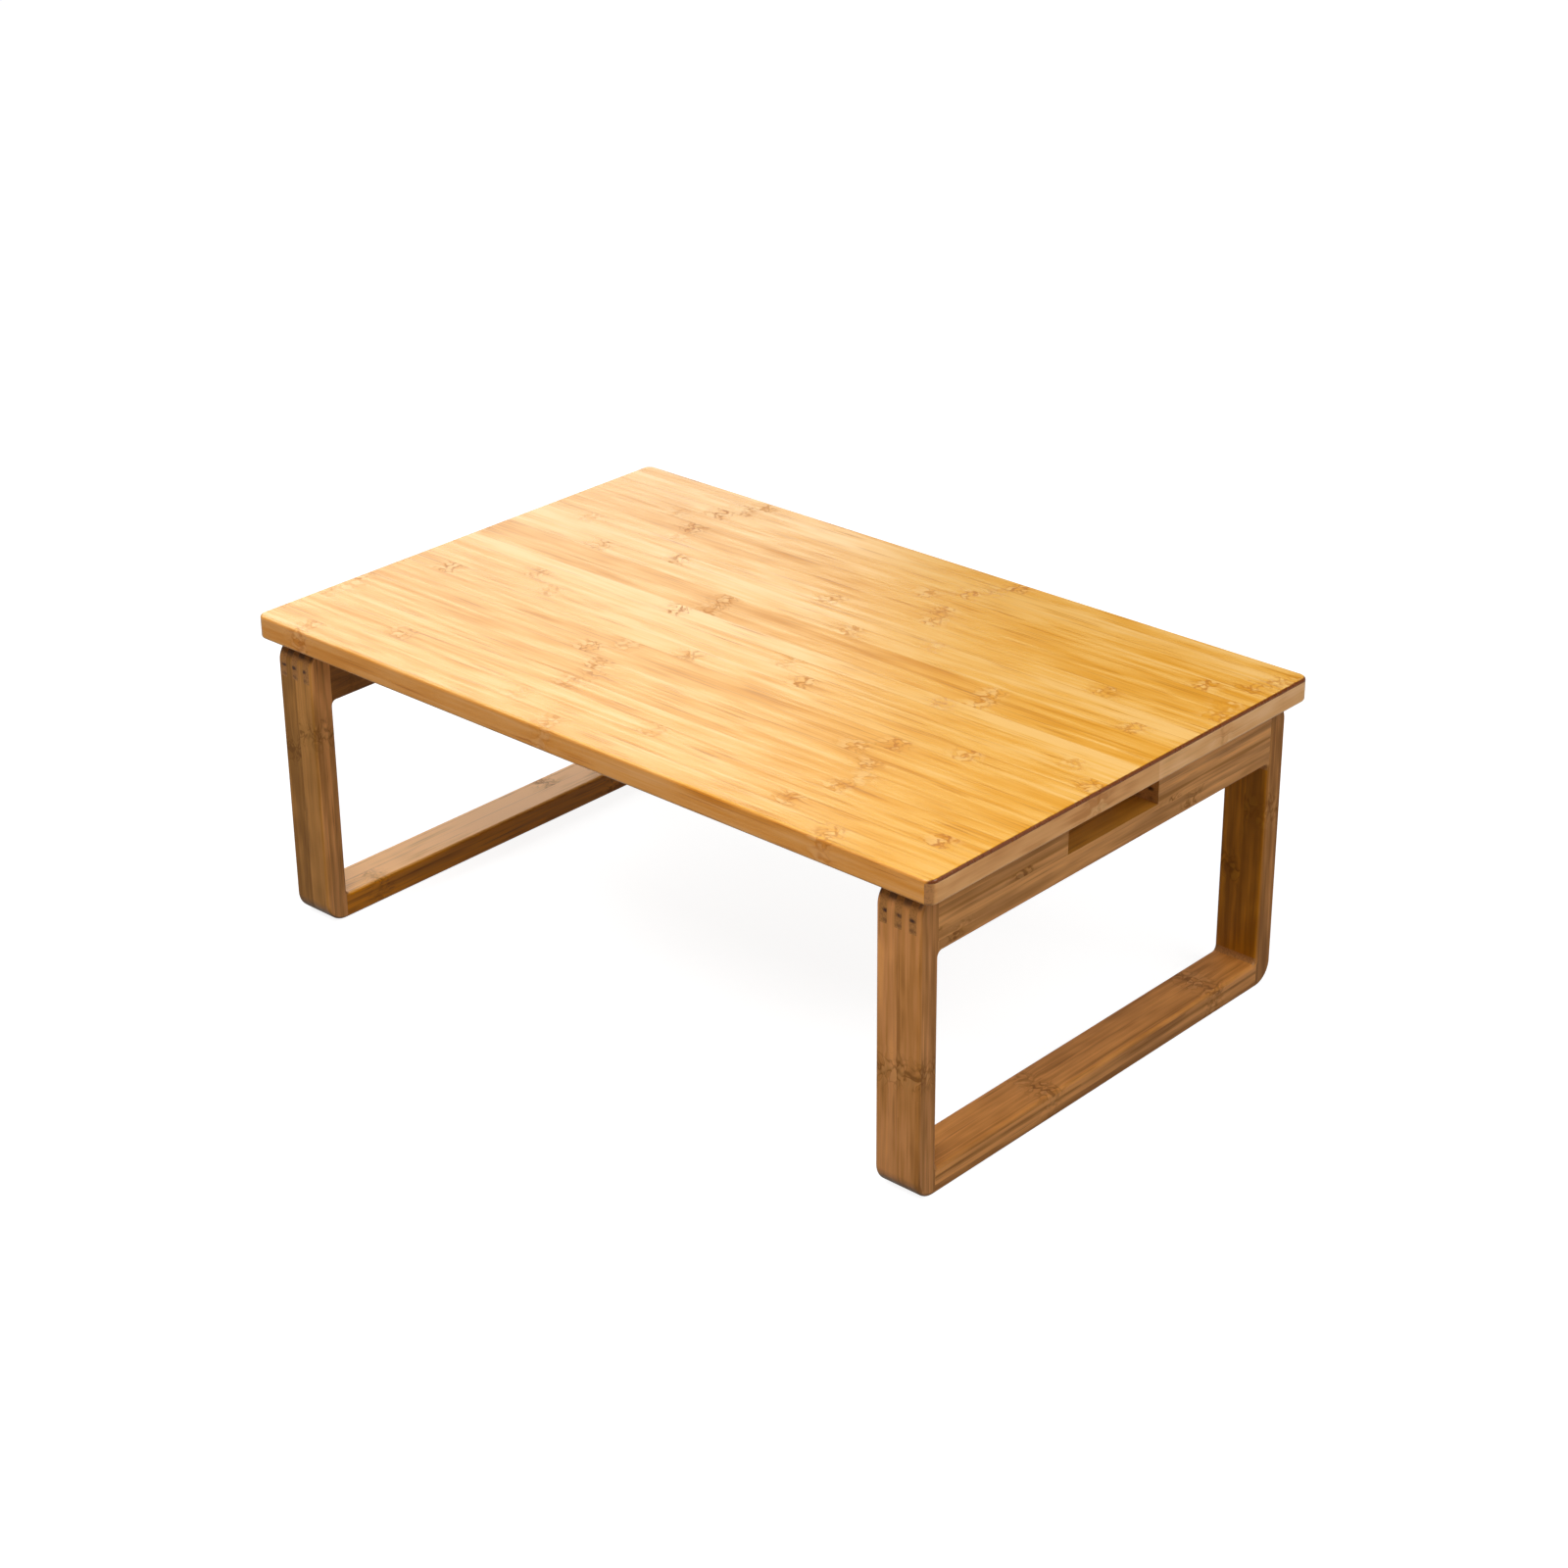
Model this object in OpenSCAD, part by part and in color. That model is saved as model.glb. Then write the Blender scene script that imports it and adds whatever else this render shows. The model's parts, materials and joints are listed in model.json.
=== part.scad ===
// Low folding floor table in laminated bamboo.
// The top lies on two closed leg frames. Each frame hangs on two butt hinges
// at the inner top edge of its rail and folds inward, flat under the top.
// The origin is on the floor under the middle of the table. X runs along the
// length, -Y is the front long side and Z is up.

/* [Tabletop] */
// Length of the tabletop
top_l = 700; // [600:10:900]
// Width of the tabletop
top_w = 450; // [400:5:600]
// Thickness of the tabletop
top_t = 20; // [17:0.5:24]
// Height of the tabletop's surface above the floor
table_h = 266; // [230:1:320]
// Radius of the tabletop's upright corners
corner_r = 8; // [6:0.5:15]
// Round-over along the tabletop's edges
edge_r = 2.5; // [1:0.25:3]
// Width of the cross-grain band that closes each end of the top
band_w = 6; // [5:0.5:14]
// Thickness of the face layer that runs over the end bands
lip_t = 3; // [3:0.25:5]

/* [Leg frames] */
// Overhang of the top past a frame's outer face
end_inset = 14.5; // [8:0.5:30]
// Overhang of the top past a frame's front and back
side_inset = 7; // [4:0.5:15]
// Depth of a frame along the table
frame_d = 40; // [32:1:50]
// Thickness of a leg
leg_t = 20.5; // [18.5:0.5:24]
// Thickness of the rail on the floor
foot_t = 21; // [18.5:0.5:26]
// Height of the lower rail, which joins the legs under the hand slot
lower_rail_h = 20; // [14:0.5:26]
// Height of the upper rail, which is also the height of the hand slot
upper_rail_h = 30; // [26:0.5:36]
// Length of the hand slot
slot_l = 108; // [90:2:130]
// Outer corner radius of a frame
frame_r = 18; // [8:0.5:18.5]
// Fillet in the corners of a frame's window
fillet_r = 4; // [2:0.5:8]
// Round-over along the edges of a frame
frame_edge_r = 3; // [1:0.25:3]
// Fingers of each comb joint between upper rail and leg
comb_fingers = 3; // [2:1:3]
// Depth by which the rails are housed in the legs
housing = 1; // [0.8:0.1:2]

/* [Hinges] */
// Distance of a hinge's centre from the outer face of the nearer leg
hinge_inset = 83; // [73:1:93]
// Length of a hinge
hinge_l = 50; // [44:1:60]
// Width of a leaf, from the pin's axis
leaf_w = 18; // [16:0.5:20]
// Thickness of a leaf
leaf_t = 1.5; // [1.2:0.1:2]
// Outer radius of a knuckle
knuckle_r = 2.75; // [2.5:0.05:3.5]
// Knuckles of a hinge, both leaves together
knuckles = 5; // [3:2:7]
// Radius of the hinge pin
pin_r = 1.4; // [1:0.05:1.6]
// Radius of the pin's heads
pin_head_r = 2.2; // [1.8:0.1:2.5]
// Thickness of the pin's heads
pin_head_t = 0.8; // [0.5:0.1:1.2]

/* [Screws] */
// Radius of a screw's shank
screw_r = 1.4; // [1.2:0.05:1.6]
// Radius of a screw's countersunk head
screw_head_r = 2.6; // [2.2:0.1:2.7]
// Length of a screw
screw_l = 12; // [8:0.5:14]
// Length of a screw's point
screw_tip_l = 2.5; // [1.5:0.25:3]
// Distance between the two screws of a leaf
screw_pitch = 30; // [24:1:34]
// Distance of the screws from the pin's axis
screw_reach = 11; // [9:0.5:12]
// Depth of the cross recess in a screw's head
recess_d = 0.8; // [0.5:0.1:1]
// Length of one arm of the cross recess, end to end
recess_l = 2.8; // [2:0.1:3]
// Width of an arm of the cross recess
recess_w = 0.6; // [0.4:0.05:0.8]

/* [Clearances] */
// Gap between the top of a frame and the underside of the top
seat_gap = 0.1; // [0.1:0.05:0.3]
// Gap between a knuckle and the wood that it turns beside
swing_gap = 0.3; // [0.3:0.05:0.6]
// Gap between neighbouring knuckles
knuckle_gap = 0.3; // [0.2:0.05:0.5]
// Radial clearance of the pin in its knuckles
pin_gap = 0.05; // [0.02:0.01:0.1]
// Radial clearance of a screw in its leaf and in the wood
screw_gap = 0.05; // [0.03:0.01:0.1]

/* [Hidden] */

$fn = 48;

// How far a cutting shape reaches past the face that it cuts
past = 1;

// Heights
under_z = table_h - top_t;
frame_h = under_z - seat_gap;
joint_z = frame_h - upper_rail_h;
rail_z = joint_z - lower_rail_h;
window_mid_z = (foot_t + rail_z) / 2;
// A rail's end runs this far along the leg, so that the fillet is all rail
ear_l = fillet_r + housing;

// The right frame's place; the left frame is its mirror image
frame_w = top_w - 2 * side_inset;
inner_y = frame_w / 2 - leg_t;
shoulder_y = inner_y + housing;
outer_x = top_l / 2 - end_inset;
inner_x = outer_x - frame_d;
frame_x = (outer_x + inner_x) / 2;

// Comb joint: fingers as wide as the gaps, with half a gap at each side
finger_pitch = frame_d / comb_fingers;
finger_w = finger_pitch / 2;

// Hinge axis, set off from both wooden faces by the same amount
face_off = knuckle_r + swing_gap;
axis_x = inner_x - face_off;
axis_z = under_z - face_off;
hinge_y = frame_w / 2 - hinge_inset;
// Distance from the axis at which a leaf stops short of the other's knuckles
leaf_notch = face_off + knuckle_gap;
knuckle_pitch = hinge_l / knuckles;
knuckle_l = knuckle_pitch - knuckle_gap;
pin_l = hinge_l - knuckle_gap;
bore_r = pin_r + pin_gap;
head_h = screw_head_r - screw_r;
pilot_r = screw_r + screw_gap;
// Space left under a screw's point in its pilot hole
pilot_spare = 0.5;

// Colours of the lacquered bamboo and of the plated steel
top_colour = "#E9B766";
band_colour = "#C0935C";
frame_colour = "#9C6B3C";
rail_colour = "#A8763F";
steel_colour = "#A9A9A4";

// Rectangle with rounded corners, centred
module round_rect(w, h, r) {
    square([w - 2 * r, h], center = true);
    square([w, h - 2 * r], center = true);
    for (sx = [-1, 1], sy = [-1, 1])
        translate([sx * (w / 2 - r), sy * (h / 2 - r)]) circle(r);
}

// Half profile of a round plate of radius r and thickness t with rounded rims
module rim_profile(r, t, edge) {
    translate([0, -t / 2]) square([r - edge, t]);
    translate([0, edge - t / 2]) square([r, t - 2 * edge]);
    for (s = [-1, 1])
        translate([r - edge, s * (t / 2 - edge)]) circle(edge);
}

// Plate l by w by t, centred, with corner radius r and every rim rounded over
module soft_plate(l, w, t, r, edge) {
    rotate([90, 0, 90])
        linear_extrude(l - 2 * r, center = true) round_rect(w, t, edge);
    rotate([90, 0, 0])
        linear_extrude(w - 2 * r, center = true) round_rect(l, t, edge);
    for (sx = [-1, 1], sy = [-1, 1])
        translate([sx * (l / 2 - r), sy * (w / 2 - r), 0])
            rotate_extrude() rim_profile(r, t, edge);
}

// The strip beside an opening's wall that a round-over takes off at each face
module flare_profile(t, edge) {
    for (s = [-1, 1])
        difference() {
            translate([0, s * (t / 2 - edge / 2 + past / 2) - (edge + past) / 2])
                square([edge, edge + past]);
            translate([edge, s * (t / 2 - edge)]) circle(edge);
        }
}

// Section of an opening w wide through a plate t thick, with rounded rims
module window_section(w, t, edge) {
    square([w, t + 2 * past], center = true);
    for (s = [0, 1])
        mirror([s, 0]) translate([w / 2, 0]) flare_profile(t, edge);
}

// Opening l by w, centred, with corner radius r, for cutting through a plate
module soft_window(l, w, t, r, edge) {
    rotate([90, 0, 90])
        linear_extrude(l - 2 * r, center = true) window_section(w, t, edge);
    rotate([90, 0, 0])
        linear_extrude(w - 2 * r, center = true) window_section(l, t, edge);
    for (sx = [-1, 1], sy = [-1, 1])
        translate([sx * (l / 2 - r), sy * (w / 2 - r), 0])
            rotate_extrude() {
                translate([0, -t / 2 - past]) square([r, t + 2 * past]);
                translate([r, 0]) flare_profile(t, edge);
            }
}

// The whole top before the end bands are let in
module top_blank() {
    translate([0, 0, table_h - top_t / 2])
        soft_plate(top_l, top_w, top_t, corner_r, edge_r);
}

// The space of the right end band
module band_space() {
    translate([top_l / 2 - band_w, -top_w / 2 - past, under_z - past])
        cube([band_w + past, top_w + 2 * past, top_t - lip_t + past]);
}

module top_panel() {
    color(top_colour)
        difference() {
            top_blank();
            band_space();
            mirror([1, 0, 0]) band_space();
            at_all_hinges() top_pilots();
        }
}

module end_band() {
    color(band_colour)
        intersection() {
            top_blank();
            band_space();
        }
}

// The right frame before it is parted into legs and rails
module frame_blank() {
    translate([frame_x, 0, 0])
        rotate([90, 0, 90])
            difference() {
                translate([0, frame_h / 2, 0])
                    soft_plate(frame_w, frame_h, frame_d, frame_r, frame_edge_r);
                translate([0, window_mid_z, 0])
                    soft_window(2 * inner_y, rail_z - foot_t, frame_d, fillet_r, frame_edge_r);
            }
}

// A block over the frame's whole depth, between two Y and two Z values
module across(y0, y1, z0, z1) {
    translate([inner_x - past, y0, z0])
        cube([frame_d + 2 * past, y1 - y0, z1 - z0]);
}

// The comb's fingers, through the front leg
module fingers() {
    for (i = [0 : comb_fingers - 1])
        translate([
            inner_x + (i + 0.5) * finger_pitch - finger_w / 2,
            -frame_w / 2 - past,
            joint_z
        ])
            cube([finger_w, leg_t - housing + past, upper_rail_h + past]);
}

module front_leg() {
    color(frame_colour)
        difference() {
            intersection() {
                frame_blank();
                union() {
                    across(-frame_w / 2 - past, -shoulder_y, -past, under_z);
                    across(-shoulder_y - past, -inner_y + past, foot_t + ear_l, rail_z - ear_l);
                }
            }
            fingers();
        }
}

module front_upper_rail() {
    color(rail_colour)
        difference() {
            intersection() {
                frame_blank();
                union() {
                    across(-shoulder_y, -slot_l / 2, joint_z, under_z);
                    fingers();
                }
            }
            at_hinge() frame_pilots();
        }
}

module lower_rail() {
    color(rail_colour)
        intersection() {
            frame_blank();
            across(-shoulder_y, shoulder_y, rail_z - ear_l, joint_z);
        }
}

module foot_rail() {
    color(rail_colour)
        intersection() {
            frame_blank();
            across(-shoulder_y, shoulder_y, -past, foot_t + ear_l);
        }
}

// Moves a shape drawn about the pin's axis to the right front hinge
module at_hinge() {
    translate([axis_x, -hinge_y, axis_z]) children();
}

// Repeats a shape drawn about the pin's axis at each of the hinges
module at_all_hinges() {
    for (mx = [0, 1], my = [0, 1])
        mirror([mx, 0, 0]) mirror([0, my, 0]) at_hinge() children();
}

// Turns a leaf that lies under the top into one that lies on the frame
module onto_frame() {
    mirror([1, 0, -1]) children();
}

// Repeats a shape at both screws of a leaf, on the leaf's outer face
module at_screws() {
    for (s = [-1, 1])
        translate([-screw_reach, s * screw_pitch / 2, face_off]) children();
}

// One leaf under the top. It carries every second knuckle from the first one.
module leaf(first) {
    difference() {
        union() {
            translate([-leaf_w, -pin_l / 2, face_off - leaf_t])
                cube([leaf_w - leaf_notch, pin_l, leaf_t]);
            for (i = [first : 2 : knuckles - 1])
                translate([0, (i + 0.5) * knuckle_pitch - hinge_l / 2, 0]) {
                    rotate([90, 0, 0])
                        cylinder(h = knuckle_l, r = knuckle_r, center = true);
                    translate([-leaf_notch - past, -knuckle_l / 2, face_off - leaf_t])
                        cube([leaf_notch + past, knuckle_l, leaf_t]);
                }
        }
        rotate([90, 0, 0])
            cylinder(h = hinge_l + 2 * past, r = bore_r, center = true);
        at_screws() {
            translate([0, 0, -leaf_t - past])
                cylinder(h = leaf_t + 2 * past, r = pilot_r);
            translate([0, 0, -leaf_t])
                cylinder(h = head_h, r1 = screw_head_r + screw_gap, r2 = pilot_r);
        }
    }
}

module hinge_pin() {
    color(steel_colour)
        rotate([90, 0, 0]) {
            cylinder(h = pin_l + pin_head_t, r = pin_r, center = true);
            for (s = [0, 1])
                mirror([0, 0, s]) translate([0, 0, pin_l / 2])
                    cylinder(h = pin_head_t, r = pin_head_r);
        }
}

// A screw driven upward, with its head flush in the leaf's lower face
module screw() {
    translate([0, 0, -leaf_t])
        difference() {
            union() {
                cylinder(h = head_h, r1 = screw_head_r, r2 = screw_r);
                cylinder(h = screw_l - screw_tip_l, r = screw_r);
                translate([0, 0, screw_l - screw_tip_l])
                    cylinder(h = screw_tip_l, r1 = screw_r, r2 = 0);
            }
            for (a = [0, 90])
                rotate(a)
                    translate([-recess_l / 2, -recess_w / 2, -past])
                        cube([recess_l, recess_w, recess_d + past]);
        }
}

module leaf_screws() {
    color(steel_colour) at_screws() screw();
}

module top_pilots() {
    at_screws()
        translate([0, 0, -past])
            cylinder(h = screw_l - leaf_t + pilot_spare + past, r = pilot_r);
}

module frame_pilots() {
    onto_frame() top_pilots();
}

module top_leaf() {
    color(steel_colour) leaf(0);
}

module frame_leaf() {
    color(steel_colour) onto_frame() leaf(1);
}

// Places a piece of the right front for one side and one end of the table
module placed(left, back) {
    mirror([left ? 1 : 0, 0, 0]) mirror([0, back ? 1 : 0, 0]) children();
}

module wood_piece(name, left, back) {
    placed(left, back) {
        if (name == "leg") front_leg();
        if (name == "upper_rail") front_upper_rail();
    }
}

module hinge_piece(name, left, back) {
    placed(left, back) at_hinge() {
        if (name == "top_leaf") top_leaf();
        if (name == "frame_leaf") frame_leaf();
        if (name == "hinge_pin") hinge_pin();
        if (name == "top_screws") leaf_screws();
        if (name == "frame_screws") onto_frame() leaf_screws();
    }
}

top_panel();
placed(true, false) end_band();  // left_end_band
end_band();  // right_end_band
placed(true, false) lower_rail();  // left_lower_rail
lower_rail();  // right_lower_rail
placed(true, false) foot_rail();  // left_foot_rail
foot_rail();  // right_foot_rail
for (side = ["left", "right"], end = ["front", "back"]) {
    for (name = ["leg", "upper_rail"])
        wood_piece(name, side == "left", end == "back");
    for (name = ["top_leaf", "frame_leaf", "hinge_pin", "top_screws", "frame_screws"])
        hinge_piece(name, side == "left", end == "back");
}
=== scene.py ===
"""A low folding floor table in lacquered laminated bamboo, in a plain white studio.

Every piece is an eased copy of the fixed frame's solids. The wooden ones are
glued from bamboo strips: the patterns below count the strips of each board and
give every strip its own tone, fibres and nodes.
"""
import json
import math

import bmesh
import bpy
import numpy as np
from mathutils import Matrix, Vector


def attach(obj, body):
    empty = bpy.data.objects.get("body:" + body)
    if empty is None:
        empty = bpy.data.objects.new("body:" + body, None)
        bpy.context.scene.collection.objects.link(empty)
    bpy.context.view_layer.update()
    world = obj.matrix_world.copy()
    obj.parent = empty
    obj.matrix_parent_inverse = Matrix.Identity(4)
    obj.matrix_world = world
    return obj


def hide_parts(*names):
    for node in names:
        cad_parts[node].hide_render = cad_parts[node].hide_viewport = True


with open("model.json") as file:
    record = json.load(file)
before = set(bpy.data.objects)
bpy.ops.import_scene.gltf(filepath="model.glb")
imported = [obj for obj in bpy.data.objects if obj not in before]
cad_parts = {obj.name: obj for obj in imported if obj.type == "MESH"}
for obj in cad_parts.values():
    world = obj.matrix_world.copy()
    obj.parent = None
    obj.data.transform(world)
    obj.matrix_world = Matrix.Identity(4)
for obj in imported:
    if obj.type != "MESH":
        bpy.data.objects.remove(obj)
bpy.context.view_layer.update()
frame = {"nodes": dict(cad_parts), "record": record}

MM = 0.001

BODY_OF = {
    node: body
    for body, nodes in frame["record"]["behaviour"]["bodies"].items()
    for node in nodes
}
SLOT_OF = {part["node"]: part["material_slot"] for part in frame["record"]["subparts"]}


def linear(hex_colour):
    """The linear RGBA of an sRGB hex colour."""
    srgb = np.array([int(hex_colour[i:i + 2], 16) for i in (0, 2, 4)]) / 255.0
    rgb = np.where(srgb <= 0.04045, srgb / 12.92, ((srgb + 0.055) / 1.055) ** 2.4)
    return (*(float(c) for c in rgb), 1.0)


def add(tree, kind, inputs=(), stops=(), interpolation="LINEAR", **settings):
    """Adds a shader node with its settings, fills or links its inputs and returns its outputs.

    An input's value may be a number, a colour, an output, or all of a node's outputs, which
    stands for the first of them. Stops are the places and colours of a colour ramp, and
    interpolation is how it passes between them.
    """
    node = tree.nodes.new("ShaderNode" + kind)
    for name, value in settings.items():
        setattr(node, name, value)
    for key, value in dict(inputs).items():
        if isinstance(value, bpy.types.bpy_prop_collection):
            value = value[0]
        if isinstance(value, bpy.types.NodeSocket):
            tree.links.new(value, node.inputs[key])
        else:
            node.inputs[key].default_value = value
    if stops:
        ramp = node.color_ramp
        ramp.interpolation = interpolation
        while len(ramp.elements) < len(stops):
            ramp.elements.new(1.0)
        for element, (place, colour) in zip(ramp.elements, stops):
            element.position = place
            element.color = colour
    return node.outputs


def new_material(name):
    """An empty node material and its output's Surface socket."""
    material = bpy.data.materials.new(name)
    material.use_nodes = True
    tree = material.node_tree
    tree.nodes.clear()
    output = tree.nodes.new("ShaderNodeOutputMaterial")
    return material, tree, output.inputs["Surface"]


# Bamboo

NODE_PITCH = 275.0

# How a board is glued up. Its axes are named in the order along the grain, across the strips
# and through the layers; "mirrored" names the axes on which the boards of the two sides are
# counted outwards from the table's middle. Strips and layers are counted from "start", in mm,
# and "width" is how wide and thick they are. Each strip has its tone, from 0 for the palest
# to 1 for the deepest, and a place along the grain, in mm, where one of its nodes lies;
# "pitch" is how far apart the nodes are. "butt" is where two lengths of a strip meet, how much
# deeper the further one is and how much further its nodes lie. "bands" run along the grain
# where the cane's denser or paler layers show, or where an arris has a painted highlight: the
# direction each is measured in, its middle, half its width and how much deeper it is. "spots"
# are the dark ones in the comb fingers' ends: the middle of one column of them and the
# columns' pitch, through the board, then the middle of the two rows and half their distance,
# across it.
TOP_BOARD = dict(
    axes="XYZ", mirrored="", start=(-222.0, 240.0), width=(19.5, 40.0), pitch=NODE_PITCH,
    strips=(
        (0.45, -25), (0.45, 190), (0.50, 40), (0.50, 205), (0.60, 210), (0.55, 200),
        (0.60, 170), (0.70, 190), (0.35, 240), (0.35, 65), (0.40, 35), (0.05, 170),
        (0.65, 193), (0.78, 187), (0.30, 30), (0.20, 100), (0.35, 250), (0.55, 66),
        (0.65, 60), (0.50, 27), (0.35, 55), (0.20, 66), (0.35, 75)))
BAND_BOARD = dict(
    axes="YZX", mirrored="X", start=(240.0, 320.0), width=(40.0, 40.0), pitch=300.0,
    strips=((0.60, -38),), butt=dict(place=33.0, deeper=-0.4, further=151.0),
    # The paler band along the end strip's lower edge is a painted highlight on that arris
    bands=(("across", 247.3, 1.4, -0.5),))
FRONT_LEG_BOARD = dict(
    axes="ZXY", mirrored="XY", start=(295.5, 197.5), width=(20.0, 7.4), pitch=NODE_PITCH,
    strips=((0.40, 100), (0.55, 103)), bands=(("across", 317.0, 1.3, 0.35),))
# The pale inner strip and the deepest outer strip are partly painted light on the leg's inner side
# and painted shade on its front
LEFT_LEG_BOARD = dict(FRONT_LEG_BOARD, strips=((0.25, 172), (1.00, 155)))
BACK_LEG_BOARD = dict(FRONT_LEG_BOARD, strips=((0.60, 98), (0.85, 155)))
FOOT_RAIL_BOARD = dict(
    axes="YXZ", mirrored="X", start=(295.5, 0.0), width=(20.0, 7.4), pitch=205.0,
    strips=((0.55, -62), (0.45, 143)),
    bands=(("across", 330.0, 1.3, 0.4), ("through", 17.0, 2.0, -0.5), ("through", 13.6, 1.2, 0.5),
           ("through", 9.3, 2.4, -0.5), ("through", 2.5, 3.5, 0.4)))
# Its strips are paler than the right foot's, partly as painted sheen on the left foot's top
LEFT_FOOT_BOARD = dict(FOOT_RAIL_BOARD, pitch=NODE_PITCH, strips=((0.20, 115), (0.10, 60)))
LOWER_RAIL_BOARD = dict(
    axes="YZX", mirrored="X", start=(192.6, 295.5), width=(6.4, 20.0), pitch=NODE_PITCH,
    strips=((0.60, 30), (0.50, -180), (0.45, 100), (0.40, 75)))
FRONT_RAIL_BOARD = dict(
    LOWER_RAIL_BOARD, start=(211.8, 295.5), spots=(304.4, 11.95, 222.4, 3.9),
    strips=((0.35, -20), (0.30, -105), (0.70, -20), (0.60, 10), (0.60, -20)),
    bands=(("across", 224.3, 1.3, 0.5),))
BACK_RAIL_BOARD = dict(
    FRONT_RAIL_BOARD, strips=((0.50, 20), (0.35, 10), (0.25, 20), (0.35, 0), (0.50, 10)),
    bands=(("across", 219.6, 2.0, 0.8), ("across", 225.5, 3.0, -0.4), ("across", 231.5, 1.2, 0.4)))

# The three patterns of the fibres: how long and how wide their cells are, in mm, and how
# much finer detail they have. A look's "reach" stretches them.
FIBRES = {"streaks": (200.0, 7.0, 2.0), "fine": (80.0, 2.2, 1.0), "clouds": (60.0, 14.0, 1.0)}

# The cells of the other patterns in mm: along the grain, across and through
SWAY_CELLS = (13.0, 10.0, 10.0)
BUNDLE_CELLS = (70.0, 1.2, 1.2)
BAND_EDGE_CELLS = (70.0, 30.0, 30.0)
WANDER_CELLS = (40.0, 7.0, 7.0)
BREAK_CELLS = (10.0, 5.0, 5.0)
CURL_CELLS = (9.0, 6.0, 6.0)
SPOT_EDGE_CELLS = (40.0, 5.0, 3.0)
# Cut bundles in a mm of end grain; they hardly change along the board
END_DOTS_PER_MM = (0.01, 0.8, 0.8)

# Where a noise begins to show and where it shows fully
BAND_WIDENS = {"From Min": 0.3, "From Max": 0.5}
BUNDLES_SHOW = {"From Min": 0.60, "From Max": 0.74}
BUNDLE_PATCHES = {"From Min": 0.42, "From Max": 0.60}
GLUE_PATCHES = {"From Min": 0.40, "From Max": 0.60}
MARK_BREAKS = {"From Min": 0.38, "From Max": 0.54, "To Min": 0.3}
CURLS_SHOW = {"From Min": 0.045, "From Max": 0.005}
PALE_CURLS = {"From Min": 0.02, "From Max": 0.08}
# The same for the distance from a bundle's middle in end grain, in cells: dark, then pale
DOT_DARK, DOT_PALE = 0.2, 0.6
# The same for the distance in mm from a glue joint and from the middle of a spot
GLUE_LINE = {"From Min": 0.8, "From Max": 0.2}
SPOT = {"From Min": 2.3, "From Max": 0.8}
# The same for how squarely the surface faces across the strips or along the grain
SIDE_SHOWS = {"From Min": 0.55, "From Max": 0.85}
END_SHOWS = {"From Min": 0.25, "From Max": 0.6}

# Patterns of two strips are this far apart at most in the fourth dimension of the noise
OWN_SPREAD = 60.0
# The faintest node shows this much of what the strongest does
FAINTEST_NODE = 0.30
# Within this distance of its line, in mm, a node's mark is fully dark
MARK_CORE = 0.4
# The fainter line's distance from the node's own and half its width, in mm
SECOND_LINE, SECOND_BREADTH = 7.0, 1.8
# A band's half width varies between these shares of the one given
BAND_THINNEST, BAND_THICKEST = 0.3, 1.3
# Distances through the board count this much within a spot, which makes it longer that way
SPOT_SQUEEZE = 0.6
# What noise adds to the distance from a spot's middle, in mm: so much times it, from so much
SPOT_RAGGED, SPOT_RAGGED_FROM = 6.0, -2.6
# How much a mark dulls the lacquer, and the sum of depth and dulling where it is dullest
MARK_DULLS, DULLEST = 1.4, 1.8
# How deep a mark lies in the fibres' relief, as a share of it, and the relief's height
MARK_SINKS = -0.5
RELIEF = 0.1 * MM


def distance_from(tree, value, middle):
    """How far a value is from a middle, to either side."""
    off = add(tree, "Math", {0: value, 1: middle}, operation="SUBTRACT")
    return add(tree, "Math", {0: off}, operation="ABSOLUTE")


def counted(tree, distance, start, width):
    """Which strip or layer a distance falls in, counted from start, and how far into it, 0 to 1."""
    count = add(tree, "Math", {0: distance, 1: start}, operation="SUBTRACT")
    count = add(tree, "Math", {0: count, 1: width}, operation="DIVIDE")
    number = add(tree, "Math", {0: count}, operation="FLOOR")
    inside = add(tree, "Math", {0: count}, operation="FRACT")
    return number, inside


def board_place(tree, board):
    """Where a point lies in its board: mm along the grain, across and through, and its side."""
    place = add(tree, "TexCoord")["Object"]
    in_mm = add(tree, "VectorMath", {0: place, "Scale": 1 / MM}, operation="SCALE")
    parts = add(tree, "SeparateXYZ", {0: in_mm})
    along, side = {}, 0.0
    for step, axis in enumerate("XYZ"):
        along[axis] = parts[axis]
        if axis in board["mirrored"]:
            along[axis] = add(tree, "Math", {0: parts[axis]}, operation="ABSOLUTE")
            positive = add(tree, "Math", {0: parts[axis], 1: 0.0}, operation="GREATER_THAN")
            side = add(tree, "Math", {0: positive, 1: step + 1.0, 2: side}, operation="MULTIPLY_ADD")
    grain, across, through = (along[axis] for axis in board["axes"])
    point = add(tree, "CombineXYZ", {0: grain, 1: across, 2: through})
    return dict(grain=grain, across=across, through=through, point=point, side=side)


def strip_place(tree, board):
    """A point's place in its board, with its strip and layer and what chance gives those."""
    at = board_place(tree, board)
    (strip_start, layer_start), (strip_width, layer_width) = board["start"], board["width"]
    at["strip"], at["into_strip"] = counted(tree, at["across"], strip_start, strip_width)
    at["layer"], at["into_layer"] = counted(tree, at["through"], layer_start, layer_width)
    which = add(tree, "CombineXYZ", {0: at["strip"], 1: at["layer"], 2: at["side"]})
    at["chance"] = add(tree, "SeparateColor", {0: add(tree, "TexWhiteNoise", {0: which})["Color"]})
    at["own"] = add(tree, "Math", {0: at["chance"][2], 1: OWN_SPREAD}, operation="MULTIPLY")
    return at


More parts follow.
